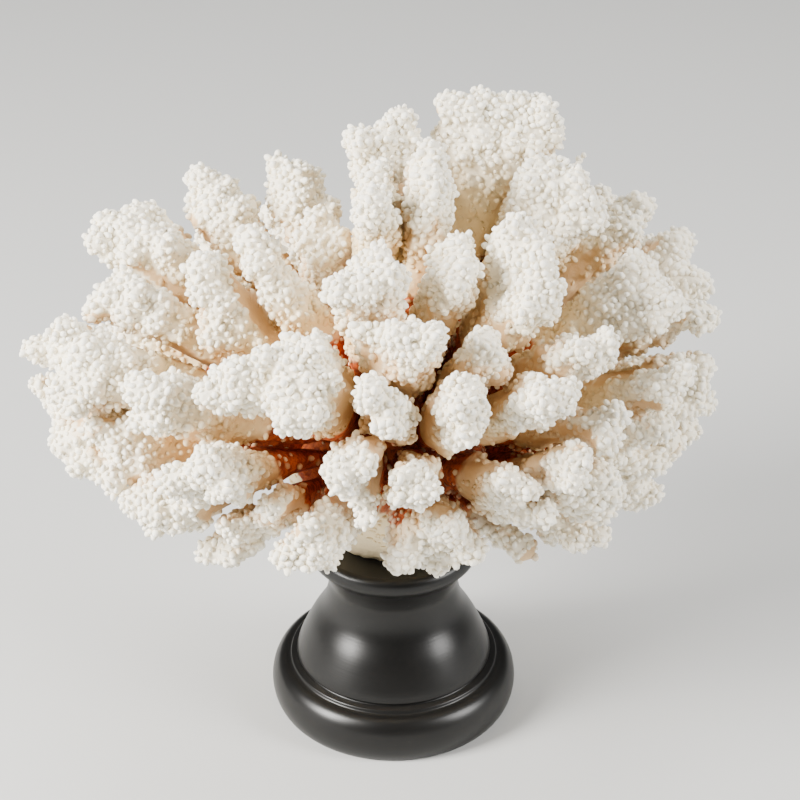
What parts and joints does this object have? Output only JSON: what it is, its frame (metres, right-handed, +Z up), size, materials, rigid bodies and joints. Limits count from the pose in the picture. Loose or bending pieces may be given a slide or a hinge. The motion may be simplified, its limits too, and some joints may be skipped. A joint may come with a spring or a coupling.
{
  "type": "branching coral on a stand",
  "caption": "White branching coral with warty lobed branches and a rust-coloured heart, resting on a turned black wooden pedestal stand.",
  "frame": {"origin": "centre of the stand's flat underside", "axes": "+Z up along the stand's turning axis; the front of the coral faces -Y and its long side runs along X"},
  "size_m": [0.2215, 0.163, 0.2157],
  "materials": {
    "black_wood": "ebonised, satin lacquer with a soft sheen",
    "cream_coral": "matt, finely porous limestone skeleton, cream with rust-brown in the heart",
    "bleached_coral": "matt, warty bleached limestone skeleton, white at the tips"
  },
  "bodies": {
    "root": {"branch_back": "bleached_coral", "branch_back_left": "bleached_coral", "branch_back_left_low": "bleached_coral", "branch_back_left_outer": "bleached_coral", "branch_back_low": "bleached_coral", "branch_back_low_right": "bleached_coral", "branch_back_middle_left": "bleached_coral", "branch_back_right": "bleached_coral", "branch_back_right_low": "bleached_coral", "branch_back_right_outer": "bleached_coral", "branch_back_right_upper": "bleached_coral", "branch_centre_left": "bleached_coral", "branch_centre_low": "bleached_coral", "branch_far_left_high": "bleached_coral", "branch_far_left_low": "bleached_coral", "branch_far_right": "bleached_coral", "branch_front": "bleached_coral", "branch_front_left": "bleached_coral", "branch_front_right_low": "bleached_coral", "branch_left": "bleached_coral", "branch_left_front": "bleached_coral", "branch_low_front": "bleached_coral", "branch_low_front_left": "bleached_coral", "branch_low_left": "bleached_coral", "branch_low_left_fan": "bleached_coral", "branch_low_right": "bleached_coral", "branch_right_blade": "bleached_coral", "branch_right_front": "bleached_coral", "branch_right_inner": "bleached_coral", "branch_right_low_front": "bleached_coral", "branch_right_middle": "bleached_coral", "branch_right_outer": "bleached_coral", "branch_right_shoulder": "bleached_coral", "branch_right_upper": "bleached_coral", "branch_top_left_back": "bleached_coral", "branch_top_left_front": "bleached_coral", "branch_upper_left_back": "bleached_coral", "branch_upper_left_front": "bleached_coral", "branch_upper_left_inner": "bleached_coral", "branch_upper_left_lower": "bleached_coral", "branch_upper_left_outer": "bleached_coral", "coral_trunk": "cream_coral", "crown_knob": "bleached_coral", "crown_left": "bleached_coral", "crown_right": "bleached_coral", "crown_top": "bleached_coral", "finger_front_left": "bleached_coral", "finger_front_right": "bleached_coral", "finger_inner": "bleached_coral", "leaf_inner_right": "bleached_coral", "stub_low_right": "bleached_coral", "turned_stand": "black_wood", "twig_low_right": "bleached_coral"}
  },
  "joints": []
}
